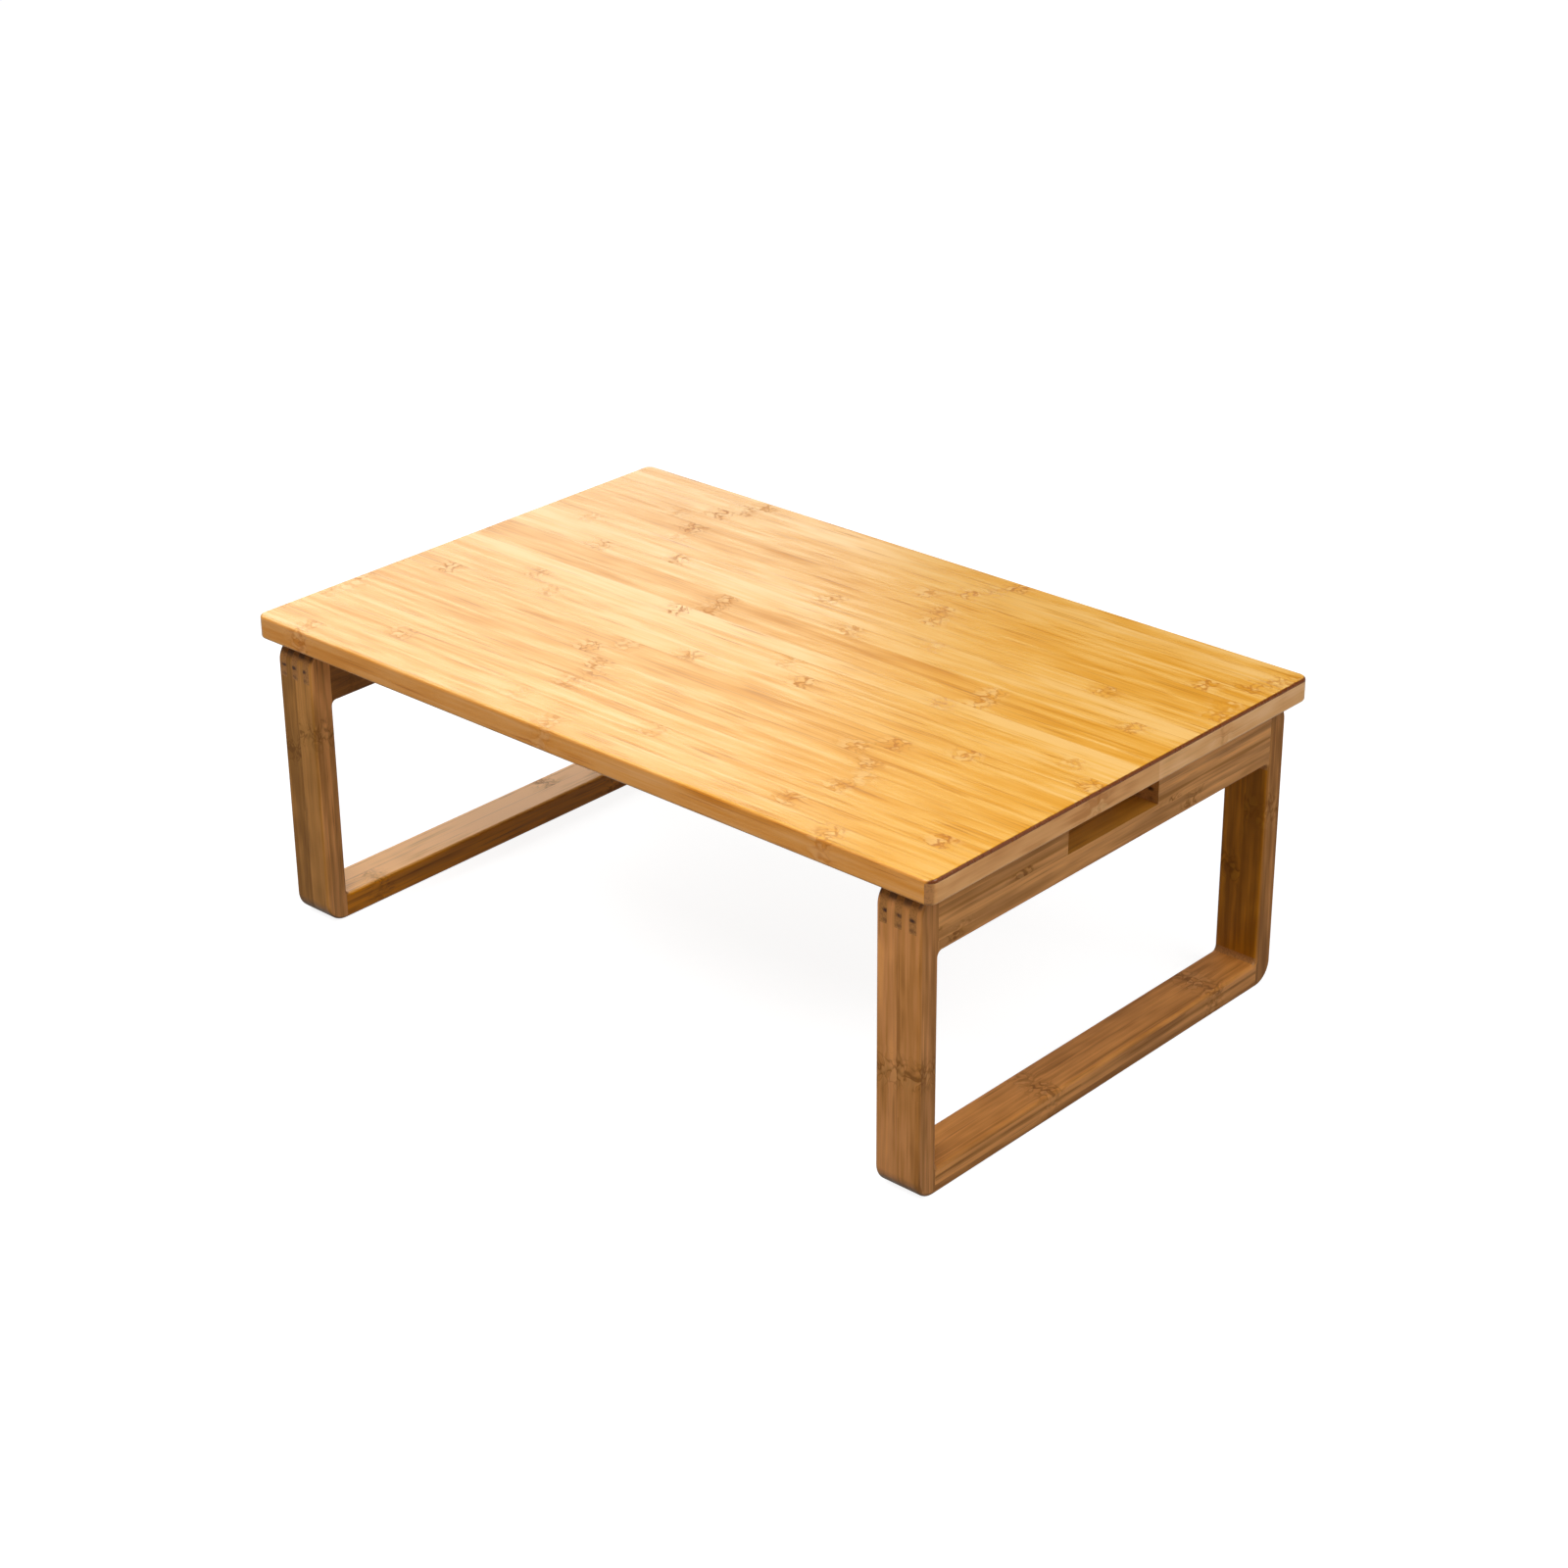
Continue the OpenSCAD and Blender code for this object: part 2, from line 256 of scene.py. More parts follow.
def cell_noise(tree, point, cells, own, detail=0.0):
    """Noise whose cells have the given sizes in mm, different for each value of own."""
    scale = tuple(1 / size for size in cells)
    point = add(tree, "VectorMath", {0: point, 1: scale}, operation="MULTIPLY")
    return add(tree, "TexNoise", {"Vector": point, "W": own, "Scale": 1.0, "Detail": detail},
               noise_dimensions="4D")


def from_table(tree, values, index):
    """The value that a table of numbers from 0 to 1 holds for a whole number."""
    share = add(tree, "Math", {0: index, 1: 0.5}, operation="ADD")
    share = add(tree, "Math", {0: share, 1: len(values)}, operation="DIVIDE")
    return add(tree, "ValToRGB", {0: share}, stops=[
        (i / len(values), (value, value, value, 1.0)) for i, value in enumerate(values)],
        interpolation="CONSTANT")


def facing(tree, axis, shows):
    """From 0 to 1 as the surface comes to face along an axis."""
    normal = add(tree, "SeparateXYZ", {0: add(tree, "TexCoord")["Normal"]})
    squarely = add(tree, "Math", {0: normal[axis]}, operation="ABSOLUTE")
    return add(tree, "MapRange", {"Value": squarely, **shows}, interpolation_type="SMOOTHSTEP")


def nearest_node(tree, board, look, at):
    """The node of the strip that is nearest: how far along the grain, how near and how strong."""
    pitch = board["pitch"]
    phases = [(place / pitch) % 1.0 for _, place in board["strips"]]
    node_at = from_table(tree, phases, at["strip"])
    node_at = add(tree, "Math", {0: node_at, 1: pitch}, operation="MULTIPLY")
    shift = add(tree, "Math", {0: at["chance"][1], 1: 0.5}, operation="SUBTRACT")
    node_at = add(tree, "Math", {0: shift, 1: look["node_shift"], 2: node_at},
                  operation="MULTIPLY_ADD")
    if "butt" in board:
        butt = board["butt"]
        beyond = add(tree, "Math", {0: at["grain"], 1: butt["place"]}, operation="GREATER_THAN")
        node_at = add(tree, "Math", {0: beyond, 1: butt["further"], 2: node_at},
                      operation="MULTIPLY_ADD")
    off = add(tree, "Math", {0: at["grain"], 1: node_at}, operation="SUBTRACT")
    number = add(tree, "Math", {0: off, 1: pitch}, operation="DIVIDE")
    number = add(tree, "Math", {0: number}, operation="ROUND")
    off = add(tree, "Math", {0: number, 1: -pitch, 2: off}, operation="MULTIPLY_ADD")
    whose = add(tree, "CombineXYZ", {0: at["strip"], 1: number, 2: at["side"]})
    strength = add(tree, "TexWhiteNoise", {0: whose})["Value"]
    strength = add(tree, "MapRange", {"Value": strength, "To Min": FAINTEST_NODE})
    near = add(tree, "Math", {0: off, 1: 1 / look["node_reach"]}, operation="MULTIPLY")
    near = add(tree, "Math", {0: near, 1: 2.0}, operation="POWER")
    near = add(tree, "Math", {0: near, 1: -1.0}, operation="MULTIPLY")
    near = add(tree, "Math", {0: near}, operation="EXPONENT")
    return dict(off=off, near=near, strength=strength)


def along_fibres(tree, look, at, node):
    """Where a point lies among fibres that swerve sideways round a node: across, and in all."""
    sway = cell_noise(tree, at["point"], SWAY_CELLS, at["own"], 1.0)
    sway = add(tree, "Math", {0: sway, 1: 0.5}, operation="SUBTRACT")
    sway = add(tree, "Math", {0: sway, 1: node["near"]}, operation="MULTIPLY")
    across = add(tree, "Math", {0: sway, 1: look["swerve"], 2: at["across"]},
                 operation="MULTIPLY_ADD")
    return across, add(tree, "CombineXYZ", {0: at["grain"], 1: across, 2: at["through"]})


def tone_depth(tree, board, look, at, node, fibres):
    """How deep the tone is: the strip's own, then what fibres, a node and the butt joint add."""
    depth = from_table(tree, [tone for tone, _ in board["strips"]], at["strip"])
    depth = add(tree, "Math", {0: at["chance"][0], 1: look["layer_spread"], 2: depth},
                operation="MULTIPLY_ADD")
    depth = add(tree, "Math", {0: depth, 1: look["strip_spread"], 2: look["depth"]},
                operation="MULTIPLY_ADD")
    for key, pattern in fibres.items():
        swing = add(tree, "Math", {0: pattern, 1: 0.5}, operation="SUBTRACT")
        depth = add(tree, "Math", {0: swing, 1: look[key], 2: depth}, operation="MULTIPLY_ADD")
    stain = add(tree, "Math", {0: node["near"], 1: node["strength"]}, operation="MULTIPLY")
    depth = add(tree, "Math", {0: stain, 1: look["node_depth"], 2: depth}, operation="MULTIPLY_ADD")
    if "butt" in board:
        butt = board["butt"]
        beyond = add(tree, "Math", {0: at["grain"], 1: butt["place"]}, operation="GREATER_THAN")
        depth = add(tree, "Math", {0: beyond, 1: butt["deeper"], 2: depth}, operation="MULTIPLY_ADD")
    return depth


def band_depth(tree, across, run, middle, half, deeper):
    """How much deeper the tone is in a band along the grain, whose width varies."""
    width = cell_noise(tree, run, BAND_EDGE_CELLS, middle)
    width = add(tree, "MapRange", {
        "Value": width, **BAND_WIDENS,
        "To Min": BAND_THINNEST * half, "To Max": BAND_THICKEST * half})
    off = distance_from(tree, across, middle)
    return add(tree, "MapRange", {
        "Value": off, "From Min": width, "From Max": BAND_THINNEST * half, "To Max": deeper},
        interpolation_type="SMOOTHSTEP")


def cut_bundles(tree, at, run, clouds):
    """Bundles cut lengthwise: thin dark lines, in patches."""
    lines = cell_noise(tree, run, BUNDLE_CELLS, at["own"])
    lines = add(tree, "MapRange", {"Value": lines, **BUNDLES_SHOW})
    patches = add(tree, "MapRange", {"Value": clouds, **BUNDLE_PATCHES})
    return add(tree, "Math", {0: lines, 1: patches}, operation="MULTIPLY")


def node_marks(tree, look, at, node, run, side):
    """A node's dark marks, and the paler fibres among them.

    The marks are a crooked line across the strip, a fainter one beside it, and curls round both.
    """
    wander = cell_noise(tree, at["point"], WANDER_CELLS, at["own"], 1.0)
    wander = add(tree, "Math", {0: wander, 1: 0.5}, operation="SUBTRACT")
    line = add(tree, "Math", {0: wander, 1: look["wander"], 2: node["off"]},
               operation="MULTIPLY_ADD")
    breadth = add(tree, "Math", {0: side, 1: look["side_ridge"], 2: look["ridge"]},
                  operation="MULTIPLY_ADD")
    ridge = add(tree, "Math", {0: line}, operation="ABSOLUTE")
    ridge = add(tree, "MapRange", {"Value": ridge, "From Min": breadth, "From Max": MARK_CORE},
                interpolation_type="SMOOTHSTEP")
    second = distance_from(tree, line, SECOND_LINE)
    second = add(tree, "MapRange", {
        "Value": second, "From Min": SECOND_BREADTH, "From Max": MARK_CORE, "To Max": look["second"]},
        interpolation_type="SMOOTHSTEP")
    marks = add(tree, "Math", {0: ridge, 1: second}, operation="MAXIMUM")
    breaks = cell_noise(tree, at["point"], BREAK_CELLS, at["own"])
    breaks = add(tree, "MapRange", {"Value": breaks, **MARK_BREAKS})
    marks = add(tree, "Math", {0: marks, 1: breaks}, operation="MULTIPLY")
    curls = cell_noise(tree, run, CURL_CELLS, at["own"], 1.0)
    curls = add(tree, "Math", {0: curls, 1: 0.5}, operation="SUBTRACT")
    pale = add(tree, "MapRange", {"Value": curls, **PALE_CURLS})
    pale = add(tree, "Math", {0: pale, 1: node["near"]}, operation="MULTIPLY")
    curls = add(tree, "Math", {0: curls}, operation="ABSOLUTE")
    curls = add(tree, "MapRange", {"Value": curls, **CURLS_SHOW})
    curls = add(tree, "Math", {0: curls, 1: node["near"]}, operation="MULTIPLY")
    marks = add(tree, "Math", {0: curls, 1: look["curls"], 2: marks},
                operation="MULTIPLY_ADD", use_clamp=True)
    marks = add(tree, "Math", {0: marks, 1: node["strength"]}, operation="MULTIPLY")
    return marks, pale


def glue_lines(tree, board, at, streaks):
    """Glue lines lie where one strip or layer ends, and show in patches."""
    to_edge = []
    for inside, width in zip((at["into_strip"], at["into_layer"]), board["width"]):
        middle = distance_from(tree, inside, 0.5)
        to_edge.append(add(tree, "Math", {0: middle, 1: -width, 2: width / 2},
                           operation="MULTIPLY_ADD"))
    glue = add(tree, "Math", {0: to_edge[0], 1: to_edge[1]}, operation="MINIMUM")
    glue = add(tree, "MapRange", {"Value": glue, **GLUE_LINE})
    patches = add(tree, "MapRange", {"Value": streaks, **GLUE_PATCHES})
    return add(tree, "Math", {0: glue, 1: patches}, operation="MULTIPLY")


def end_grain(tree, board, look, at):
    """The colour of end grain: the cut bundles' dots, and dark spots where two layers meet."""
    dots = add(tree, "VectorMath", {0: at["point"], 1: END_DOTS_PER_MM}, operation="MULTIPLY")
    dots = add(tree, "TexVoronoi", {"Vector": dots, "Scale": 1.0})["Distance"]
    pale, dark = (linear(tone) for tone in look["end"])
    end = add(tree, "ValToRGB", {0: dots}, stops=[(DOT_DARK, dark), (DOT_PALE, pale)])
    if "spots" not in board:
        return end
    column, pitch, middle, half = board["spots"]
    off = add(tree, "Math", {0: at["through"], 1: column}, operation="SUBTRACT")
    off = add(tree, "Math", {0: off, 1: pitch / 2, 2: -pitch / 2}, operation="WRAP")
    off = add(tree, "Math", {0: off, 1: SPOT_SQUEEZE}, operation="MULTIPLY")
    row = distance_from(tree, at["across"], middle)
    row = add(tree, "Math", {0: row, 1: half}, operation="SUBTRACT")
    ragged = cell_noise(tree, at["point"], SPOT_EDGE_CELLS, at["own"], 1.0)
    ragged = add(tree, "Math", {0: ragged, 1: SPOT_RAGGED, 2: SPOT_RAGGED_FROM},
                 operation="MULTIPLY_ADD")
    off = add(tree, "CombineXYZ", {0: off, 1: row, 2: ragged})
    off = add(tree, "VectorMath", {0: off}, operation="LENGTH")["Value"]
    spots = add(tree, "MapRange", {"Value": off, **SPOT})
    # The lower row's spots are half as dark as the upper one's
    upper = add(tree, "MapRange", {
        "Value": at["across"], "From Min": middle - 1.0, "From Max": middle + 1.0, "To Min": 0.5})
    spots = add(tree, "Math", {0: spots, 1: upper}, operation="MULTIPLY")
    return add(tree, "MixRGB", {0: spots, 1: end, 2: linear(look["spot"])})


def bamboo(name, board, look):
    """Lacquered bamboo, glued up from split and planed strips, then sanded.

    The strips show long fibres that swerve at the nodes of the cane, darker curled marks
    there, dark lines where bundles are cut, thin glue lines, and at the ends the dark dots
    of the cut bundles. The lacquer is clear. Some boards' tones, tints and bands also hold
    painted light and shade.
    """
    material, tree, surface = new_material(name)
    at = strip_place(tree, board)
    side = facing(tree, board["axes"][1], SIDE_SHOWS)
    end = facing(tree, board["axes"][0], END_SHOWS)
    node = nearest_node(tree, board, look, at)
    swerved, run = along_fibres(tree, look, at, node)
    fibres = {}
    for key, (length, breadth, detail) in FIBRES.items():
        cells = (length * look["reach"], breadth, breadth)
        fibres[key] = cell_noise(tree, run, cells, at["own"], detail)

    depth = tone_depth(tree, board, look, at, node, fibres)
    for direction, middle, half, deeper in board.get("bands", ()):
        across = swerved if direction == "across" else at["through"]
        band = band_depth(tree, across, run, middle, half, deeper)
        depth = add(tree, "Math", {0: depth, 1: band}, operation="ADD")
    last = len(look["tones"]) - 1
    colour = add(tree, "ValToRGB", {0: depth}, stops=[
        (i / last, linear(tone)) for i, tone in enumerate(look["tones"])])

    lines = cut_bundles(tree, at, run, fibres["clouds"])
    marks, pale = node_marks(tree, look, at, node, run, side)
    glue = glue_lines(tree, board, at, fibres["streaks"])
    for share, key in ((pale, "pale"), (lines, "line"), (marks, "mark"), (glue, "glue")):
        most, tone = look[key]
        share = add(tree, "Math", {0: share, 1: most}, operation="MULTIPLY")
        colour = add(tree, "MixRGB", {0: share, 1: colour, 2: linear(tone)})

    # A strip's face and its planed side differ in tint, and on some boards the tint is also painted
    # shade for faces that lie in shadow
    tint = add(tree, "MixRGB", {
        0: side, 1: linear(look["face_tint_and_shade"]), 2: linear(look["side_tint_and_shade"])})
    colour = add(tree, "MixRGB", {0: 1.0, 1: colour, 2: tint}, blend_type="MULTIPLY")
    colour = add(tree, "MixRGB", {0: end, 1: colour, 2: end_grain(tree, board, look, at)})

    # The deeper streaks and the marks are open bundles, which the lacquer leaves duller
    dulling = add(tree, "Math", {0: marks, 1: MARK_DULLS, 2: depth}, operation="MULTIPLY_ADD")
    smoothest, dullest = look["rough"]
    gloss = add(tree, "MapRange", {
        "Value": dulling, "From Max": DULLEST, "To Min": smoothest, "To Max": dullest})
    relief = add(tree, "Math", {0: marks, 1: MARK_SINKS, 2: fibres["fine"]},
                 operation="MULTIPLY_ADD")
    bump = add(tree, "Bump", {"Height": relief, "Strength": look["bump"], "Distance": RELIEF})
    wood = add(tree, "BsdfPrincipled", {
        "Base Color": colour, "Roughness": gloss, "Normal": bump,
        "IOR": 1.5, "Specular IOR Level": look["specular"]})
    tree.links.new(wood[0], surface)
    return material


# How the bamboo of a board looks. "tones" are its colours from palest to deepest. "depth"
# moves the whole board along them; "strip_spread" and "layer_spread" are how far the strips'
# tones and chance move a strip, and "streaks", "fine" and "clouds" how far the fibres move
# the tone within it. "reach" stretches the fibres. A node lies within half "node_shift" of
# its place, in mm; within about "node_reach" mm of it the tone is deeper by "node_depth" and
# the fibres swerve by some share of "swerve" mm. Its mark strays by some share of "wander" mm
# and reaches "ridge" mm to either side, and "side_ridge" more on a strip's planed side.
# "second" and "curls" are how strong the fainter line and the curls are. "pale", "line",
# "mark" and "glue" hold how much of the colour pale curls, cut bundles, marks and glue lines
# replace, and by which. "face_tint_and_shade" and "side_tint_and_shade" multiply the colour of
# a strip's face and of its planed side: a tint of the cane, and on some boards painted shade.
# "end" holds the pale and the dark colour of the end grain, and "spot" is the colour of its
# spots. "rough" holds the lacquer's roughness where it is smoothest and where it is dullest,
# "bump" is how much of the relief shows through it, and "specular" is how strongly it mirrors.

# Natural bamboo under a fairly glossy lacquer
TOP_LOOK = dict(
    tones=("FDC976", "F6BA58", "EDA938", "DE9410"), depth=0.08, strip_spread=0.8, layer_spread=0.0,
    streaks=1.45, fine=0.95, clouds=0.8, reach=0.9, node_shift=4.0, node_reach=12.0,
    node_depth=0.30, swerve=12.0, wander=24.0, ridge=1.9, side_ridge=2.5, second=0.7, curls=1.0,
    pale=(0.5, "FFD488"), line=(0.75, "C27A0C"), mark=(0.80, "B66600"), glue=(0.5, "BC7610"),
    face_tint_and_shade="FFFFFF", side_tint_and_shade="F4DEE2", end=("7C3E06", "6A2E04"), rough=(0.20, 0.50),
    bump=0.1, specular=0.5)
# Steamed bamboo, browner, under the same lacquer rubbed down to satin
FRAME_LOOK = dict(
    tones=("E69B51", "D58E46", "C27F3A", "A86B2B"), depth=0.05, strip_spread=0.8, layer_spread=0.3,
    streaks=1.4, fine=1.0, clouds=1.1, reach=0.6, node_shift=8.0, node_reach=12.0,
    node_depth=0.25, swerve=16.0, wander=24.0, ridge=2.6, side_ridge=0.0, second=0.5, curls=1.0,
    pale=(0.35, "DDA062"), line=(0.45, "7E4C14"), mark=(0.7, "70420A"), glue=(0.35, "6E400C"),
    face_tint_and_shade="FFFFFF", side_tint_and_shade="FFFFFF", end=("B57B42", "9C6634"), spot="401C06",
    rough=(0.34, 0.62), bump=0.15, specular=0.35)
# The frames' pieces come from lots of cane that differ in tint; some looks below also hold painted
# light and shade
# Its darker, greyer end grain is partly painted shade, on the comb fingers at the legs' rounded tops
# under the top and on their rounded feet
LEG_LOOK = dict(
    FRAME_LOOK, tones=("EAA05C", "D99358", "C68445", "AC7036"), side_tint_and_shade="F2F2EC",
    end=("845C3E", "6E4A30"))
# Painted light and shade: the paler tones stand for light on the left leg's inner side, the darker
# face tint for shade on its front
LEFT_LEG_LOOK = dict(
    LEG_LOOK, tones=("F2A968", "E09B5A", "CC8C4C", "B1773B"), face_tint_and_shade="DBD6AC",
    side_tint_and_shade="FFFFFF")
# Its darker, yellower face tint is painted shade on the back legs' front and back faces, whose inner
# one lies in the top's shadow
BACK_LEG_LOOK = dict(LEG_LOOK, face_tint_and_shade="F2E66C", specular=0.25)
# Painted light and shade: the paler tones and lighter depth stand for sheen on the left foot's top,
# the dark side tint for shade on its sides
LEFT_FOOT_LOOK = dict(
    FRAME_LOOK, tones=("F8B662", "E6A650", "D29440", "B88030"), depth=-0.20, side_tint_and_shade="EBC824")
# Its darker, olive side tint is painted shade on the rails' upper and lower faces, for the slot's
# floor in shadow
RAIL_LOOK = dict(
    FRAME_LOOK, tones=("E9A35C", "D89758", "C68849", "AE7437"), streaks=0.9, fine=0.8,
    clouds=0.7, side_tint_and_shade="E2DE90")
# Its darker face tint is painted shade on the left rails' sides, which lie in the top's shadow
LEFT_RAIL_LOOK = dict(RAIL_LOOK, face_tint_and_shade="CEBE78")
# Paler cross-grain strips that close the ends of the top
BAND_LOOK = dict(
    FRAME_LOOK, tones=("F3BF8A", "E7AE73", "DDA167", "C4854C"), streaks=1.2, fine=0.8, clouds=1.2,
    wander=10.0, ridge=3.0, second=0.0, curls=0.2, pale=(0.5, "F2C48C"), line=(0.3, "A87440"),
    mark=(0.6, "A05A18"), glue=(0.0, "9C6C3C"), end=("B98150", "A37146"), specular=0.4)


# Camera and studio

# The photograph is taken as 1600 by 1600; its principal point is its middle.
PHOTO = 1600
FOCAL_PX = 3339.987
SENSOR = 36.0
AZIMUTH, ELEVATION, ROLL = (math.radians(a) for a in (42.293, 25.958, -0.506))
CAMERA_SHIFT_MM = Vector((8.671, 130.131, 2666.272))


def make_camera():
    """The photograph's camera: it looks level with the table's turn, then rolls slightly."""
    back = Vector((math.sin(AZIMUTH) * math.cos(ELEVATION),
                   -math.cos(AZIMUTH) * math.cos(ELEVATION), math.sin(ELEVATION)))
    right = Vector((math.cos(AZIMUTH), math.sin(AZIMUTH), 0.0))
    up = back.cross(right)
    c, s = math.cos(ROLL), math.sin(ROLL)
    axes = Matrix((c * right + s * up, -s * right + c * up, back)).transposed()
    data = bpy.data.cameras.new("photo_camera")
    data.sensor_width = SENSOR
    data.lens = FOCAL_PX * SENSOR / PHOTO
    data.clip_end = 100.0
    camera = bpy.data.objects.new("photo_camera", data)
    camera.matrix_world = Matrix.Translation(axes @ CAMERA_SHIFT_MM * MM) @ axes.to_4x4()
    bpy.context.scene.collection.objects.link(camera)
    bpy.context.scene.camera = camera


# How much of the floor and of the walls shows in what the lacquer mirrors. Walls show less
# the higher they are: a direction's height goes from 0 level to 1 straight up.
FLOOR_MIRRORED = 0.4
WALLS_MIRRORED = {"From Min": 0.25, "From Max": 0.05, "To Min": 0.05, "To Max": 0.6}
# In metres from the middle of the table: where the floor stops throwing back the least light
# and where it throws back the most, and then how bright it looks from near to far
THROWS_MORE = {"From Min": 0.45, "From Max": 1.1}
LOOKS_BRIGHTER = {"From Min": 0.8, "From Max": 2.5, "To Min": 0.89, "To Max": 1.0}
HALF_FLOOR = 20.0


def softbox(name, place, size, level, aim=(0.0, 0.0, 0.15), roll=0.0, mirrored=True):
    """A rectangular lamp aimed at the table, rolled by some degrees about its own axis.

    At level 1 its mirror image is white. One that isn't mirrored lights without an image.
    """
    data = bpy.data.lights.new(name, "AREA")
    data.shape = "RECTANGLE"
    data.size, data.size_y = size
    data.energy = level * math.pi * size[0] * size[1]
    lamp = bpy.data.objects.new(name, data)
    lamp.location = place
    turn = (Vector(aim) - Vector(place)).to_track_quat("-Z", "Y").to_matrix()
    lamp.rotation_euler = (turn @ Matrix.Rotation(math.radians(roll), 3, "Z")).to_euler()
    lamp.visible_camera = False
    lamp.visible_glossy = mirrored
    bpy.context.scene.collection.objects.link(lamp)


def seen_directly(tree, mirrored):
    """1 for camera and transmission rays, and the given share for glossy rays."""
    ray = add(tree, "LightPath")
    glossy = add(tree, "Math", {0: ray["Is Glossy Ray"], 1: mirrored}, operation="MULTIPLY")
    through = add(tree, "Math", {0: glossy, 1: ray["Is Transmission Ray"]}, operation="MAXIMUM")
    return add(tree, "Math", {0: through, 1: ray["Is Camera Ray"]}, operation="MAXIMUM")


def make_floor():
    """White seamless paper: it looks white, keeps a soft shadow and throws back little light.

    It throws back the least near the table, so that the faces that look down stay deep.
    """
    material, tree, surface = new_material("seamless_paper")
    away = add(tree, "VectorMath", {0: add(tree, "TexCoord")["Object"]}, operation="LENGTH")["Value"]
    far = add(tree, "MapRange", {"Value": away, **THROWS_MORE})
    thrown = add(tree, "MixRGB", {0: far, 1: linear("6A6440"), 2: linear("9A9060")})
    bounce = add(tree, "BsdfDiffuse", {"Color": thrown})
    shaded = add(tree, "BsdfDiffuse", {"Color": linear("9C9C9C")})
    brightness = add(tree, "MapRange", {"Value": away, **LOOKS_BRIGHTER})
    glow = add(tree, "Emission", {"Color": linear("FFFFFF"), "Strength": brightness})
    paper = add(tree, "AddShader", {0: shaded, 1: glow})
    look = add(tree, "MixShader", {0: seen_directly(tree, FLOOR_MIRRORED), 1: bounce, 2: paper})
    tree.links.new(look[0], surface)
    mesh = bpy.data.meshes.new("studio_floor")
    signs = ((-1, -1), (1, -1), (1, 1), (-1, 1))
    corners = [(x * HALF_FLOOR, y * HALF_FLOOR, 0.0) for x, y in signs]
    mesh.from_pydata(corners, [], [(0, 1, 2, 3)])
    mesh.materials.append(material)
    floor = bpy.data.objects.new("studio_floor", mesh)
    bpy.context.scene.collection.objects.link(floor)


def make_studio():
    """A dark room with white walls behind the paper, and softboxes all round."""
    world = bpy.data.worlds.new("studio")
    world.use_nodes = True
    tree = world.node_tree
    tree.nodes.clear()
    output = tree.nodes.new("ShaderNodeOutputWorld")
    room = add(tree, "Background", {"Color": linear("FFFFFF"), "Strength": 0.02})
    walls = add(tree, "Background", {"Color": linear("FFFFFF"), "Strength": 1.0})
    height = add(tree, "SeparateXYZ", {0: add(tree, "TexCoord")["Generated"]})["Z"]
    mirrored = add(tree, "MapRange", {"Value": height, **WALLS_MIRRORED})
    view = add(tree, "MixShader", {0: seen_directly(tree, mirrored), 1: room, 2: walls})
    tree.links.new(view[0], output.inputs["Surface"])
    bpy.context.scene.world = world
    softbox("key", (0.10, -1.05, 1.90), (1.8, 1.0), 5.35)
    # Low fill for the legs, whose image would glare in the top when it is seen from behind
    softbox("low_right", (1.60, -1.20, 0.60), (1.0, 0.6), 3.2, aim=(-0.30, -0.20, 0.12),
            mirrored=False)
    softbox("left", (-1.60, -0.25, 1.40), (1.6, 1.0), 2.6)
    softbox("right", (1.70, 0.40, 1.40), (2.2, 1.0), 1.2)
    softbox("near_right", (1.10, 0.20, 1.20), (0.6, 0.6), 3.7)
    # The window behind the table: its tilted edge is the edge of the sheen across the top
    softbox("window", (-2.20, 1.52, 1.23), (1.5, 1.8), 2.05, aim=(-0.17, 0.02, -0.12), roll=-23.5)


# Pieces

WOOD_ARRIS = 0.25 * MM
STEEL_ARRIS = 0.12 * MM
# Points nearer than this, in metres, are one; faces that turn less than this are one flat face
SAME_POINT = 1e-6
FLAT = math.radians(0.3)
# Edges that turn more than this are arrises; the solids' own round-overs turn less
SHARP = math.radians(35)
# The cells of the steel's drawing lines and of its cloudy plate, in mm, and the lines' depth
DRAWING_CELLS = (25.0, 0.25, 0.25)
PLATE_CELLS = (6.0, 6.0, 6.0)
DRAWING_DEPTH = 0.02 * MM


def eased_copy(node, arris):
    """A merged copy of a solid with its arrises broken, which stands for it.

    Loose triangles are merged and flat ones joined, every edge sharper than the round-overs
    gets a narrow bevel, and the normals are weighted by area so that flat faces stay flat.
    """
    mesh = bpy.data.meshes.new(node + "_eased")
    work = bmesh.new()
    work.from_mesh(frame["nodes"][node].data)
    bmesh.ops.remove_doubles(work, verts=work.verts, dist=SAME_POINT)
    bmesh.ops.dissolve_limit(work, angle_limit=FLAT, verts=work.verts, edges=work.edges)
    for face in work.faces:
        face.smooth = True
    work.to_mesh(mesh)
    work.free()
    for name in ("custom_normal", "UVMap"):
        if name in mesh.attributes:
            mesh.attributes.remove(mesh.attributes[name])
    piece = bpy.data.objects.new(node + "_eased", mesh)
    bpy.context.scene.collection.objects.link(piece)
    bevel = piece.modifiers.new("arrises", "BEVEL")
    bevel.width = arris
    bevel.segments = 2
    bevel.limit_method = "ANGLE"
    bevel.angle_limit = SHARP
    piece.modifiers.new("flat_faces", "WEIGHTED_NORMAL").keep_sharp = True
    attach(piece, BODY_OF[node])
    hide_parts(node)
    return piece


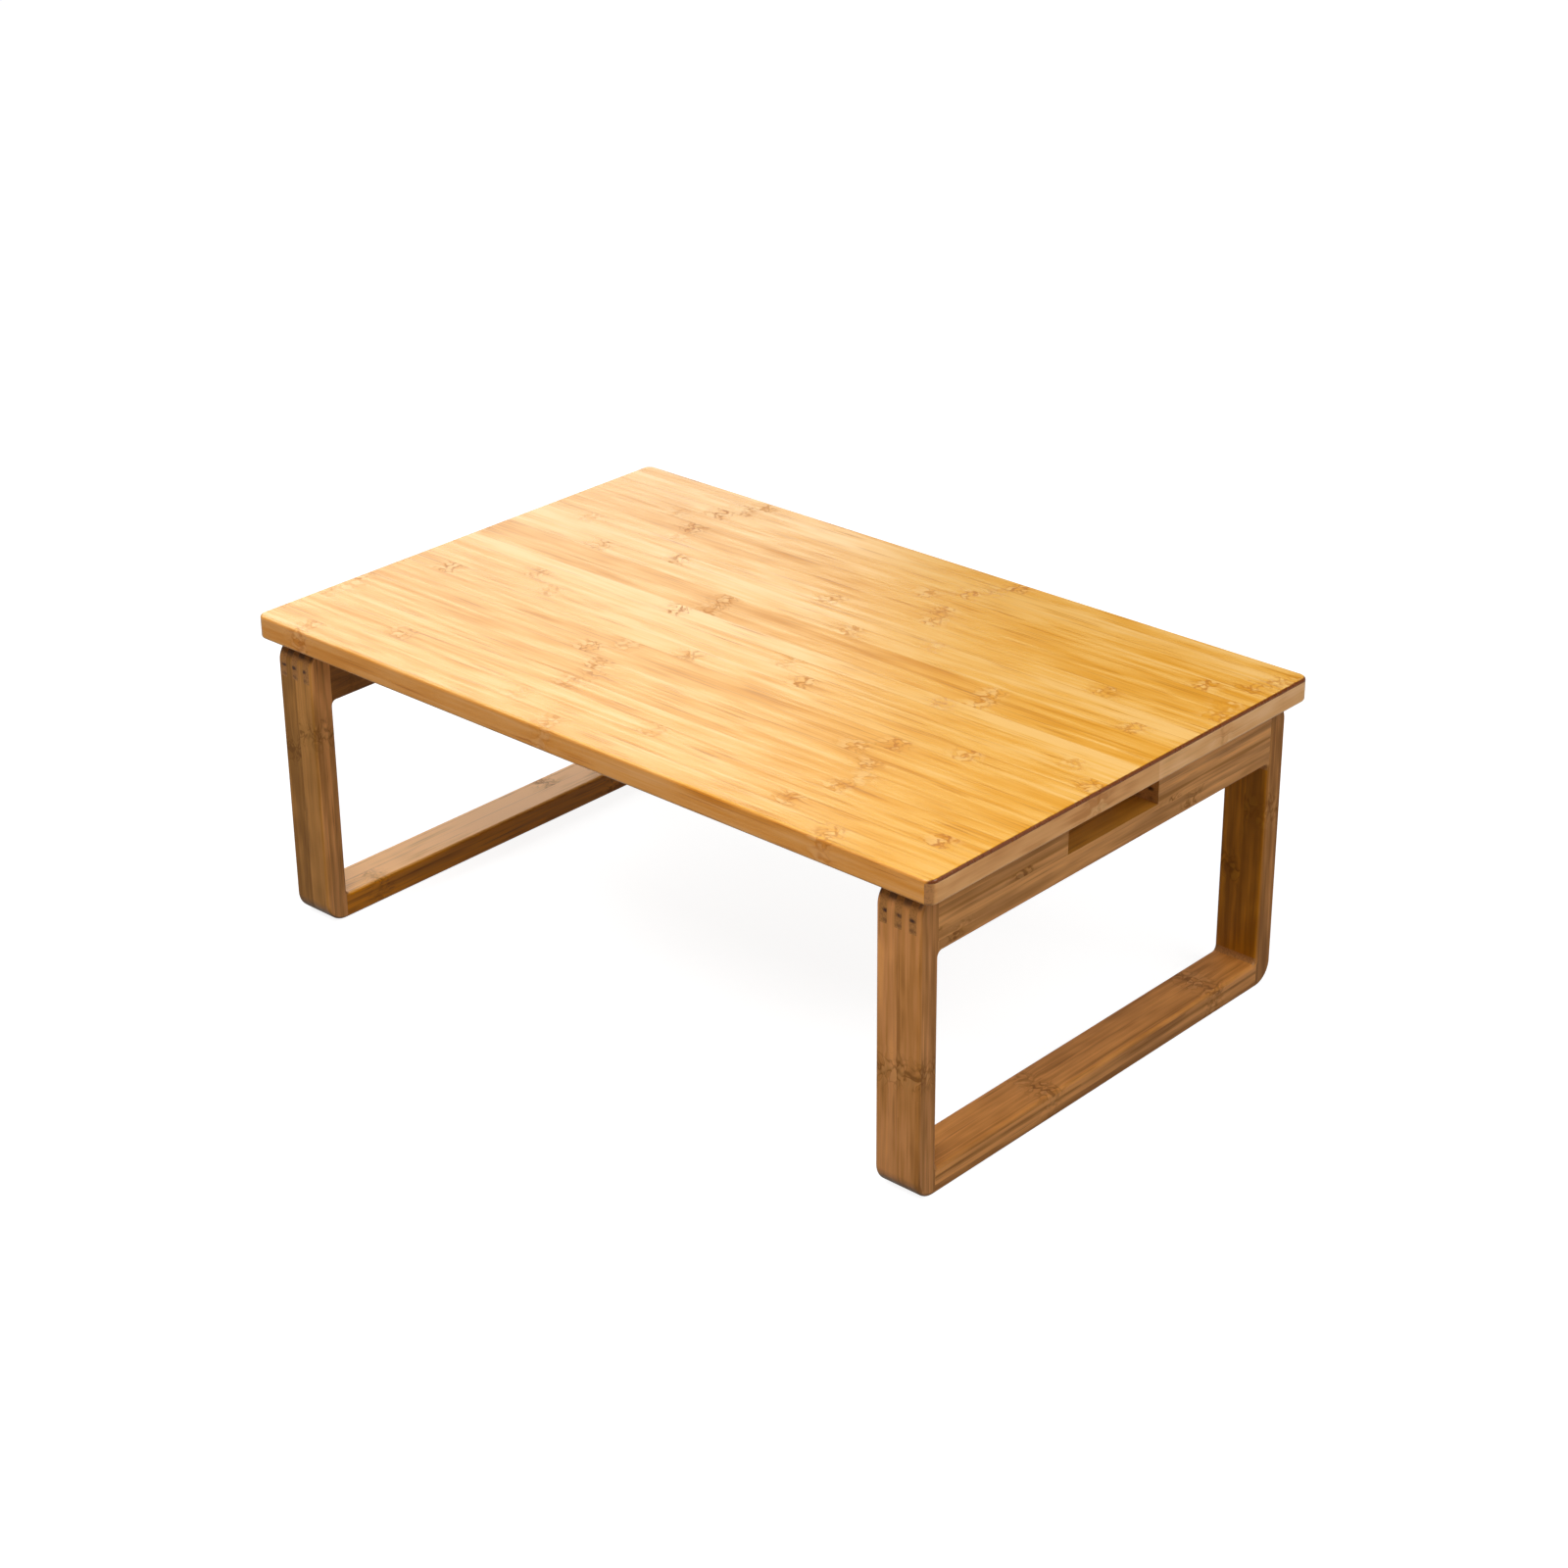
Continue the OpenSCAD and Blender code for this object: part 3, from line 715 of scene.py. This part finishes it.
def zinc_plate(name):
    """Mild steel with bright zinc plate: pale grey, satin, with faint drawing lines along Y."""
    material, tree, surface = new_material(name)
    point = board_place(tree, dict(axes="YXZ", mirrored=""))["point"]
    lines = cell_noise(tree, point, DRAWING_CELLS, 0.0, 2.0)
    cloud = cell_noise(tree, point, PLATE_CELLS, 5.0, 2.0)
    tint = add(tree, "ValToRGB", {0: cloud}, stops=[(0.3, linear("B9BABB")), (0.7, linear("CDCDCB"))])
    gloss = add(tree, "MapRange", {"Value": lines, "To Min": 0.24, "To Max": 0.44})
    bump = add(tree, "Bump", {"Height": lines, "Strength": 0.2, "Distance": DRAWING_DEPTH})
    steel = add(tree, "BsdfPrincipled", {
        "Base Color": tint, "Roughness": gloss, "Normal": bump, "Metallic": 1.0})
    tree.links.new(steel[0], surface)
    return material


def make_finishes():
    """Every finish, under the last words of the names of the pieces that wear it."""
    return {
        "top_panel": bamboo("lacquered_bamboo_top", TOP_BOARD, TOP_LOOK),
        "end_band": bamboo("lacquered_bamboo_band", BAND_BOARD, BAND_LOOK),
        "left_front_leg": bamboo("lacquered_bamboo_left_leg", LEFT_LEG_BOARD, LEFT_LEG_LOOK),
        "right_front_leg": bamboo("lacquered_bamboo_right_leg", FRONT_LEG_BOARD, LEG_LOOK),
        "back_leg": bamboo("lacquered_bamboo_back_leg", BACK_LEG_BOARD, BACK_LEG_LOOK),
        "left_foot_rail": bamboo("lacquered_bamboo_left_foot", LEFT_FOOT_BOARD, LEFT_FOOT_LOOK),
        "right_foot_rail": bamboo("lacquered_bamboo_right_foot", FOOT_RAIL_BOARD, FRAME_LOOK),
        "left_front_upper_rail": bamboo(
            "lacquered_bamboo_left_front_rail", FRONT_RAIL_BOARD, LEFT_RAIL_LOOK),
        "left_lower_rail": bamboo(
            "lacquered_bamboo_left_lower_rail", LOWER_RAIL_BOARD, LEFT_RAIL_LOOK),
        "front_upper_rail": bamboo("lacquered_bamboo_front_rail", FRONT_RAIL_BOARD, RAIL_LOOK),
        "back_upper_rail": bamboo("lacquered_bamboo_back_rail", BACK_RAIL_BOARD, RAIL_LOOK),
        "lower_rail": bamboo("lacquered_bamboo_lower_rail", LOWER_RAIL_BOARD, RAIL_LOOK),
        "leaf": zinc_plate("zinc_plated_strip_steel"),
        "pin": zinc_plate("zinc_plated_wire"),
        "screws": zinc_plate("zinc_plated_screw_steel"),
    }


make_camera()
make_floor()
make_studio()
finishes = make_finishes()
for node, slot in SLOT_OF.items():
    wooden = slot.startswith("bamboo")
    piece = eased_copy(node, WOOD_ARRIS if wooden else STEEL_ARRIS)
    piece.data.materials.clear()
    finish = next(made for ending, made in finishes.items() if node.endswith(ending))
    piece.data.materials.append(finish)

scene = bpy.context.scene
scene.view_settings.view_transform = "Standard"
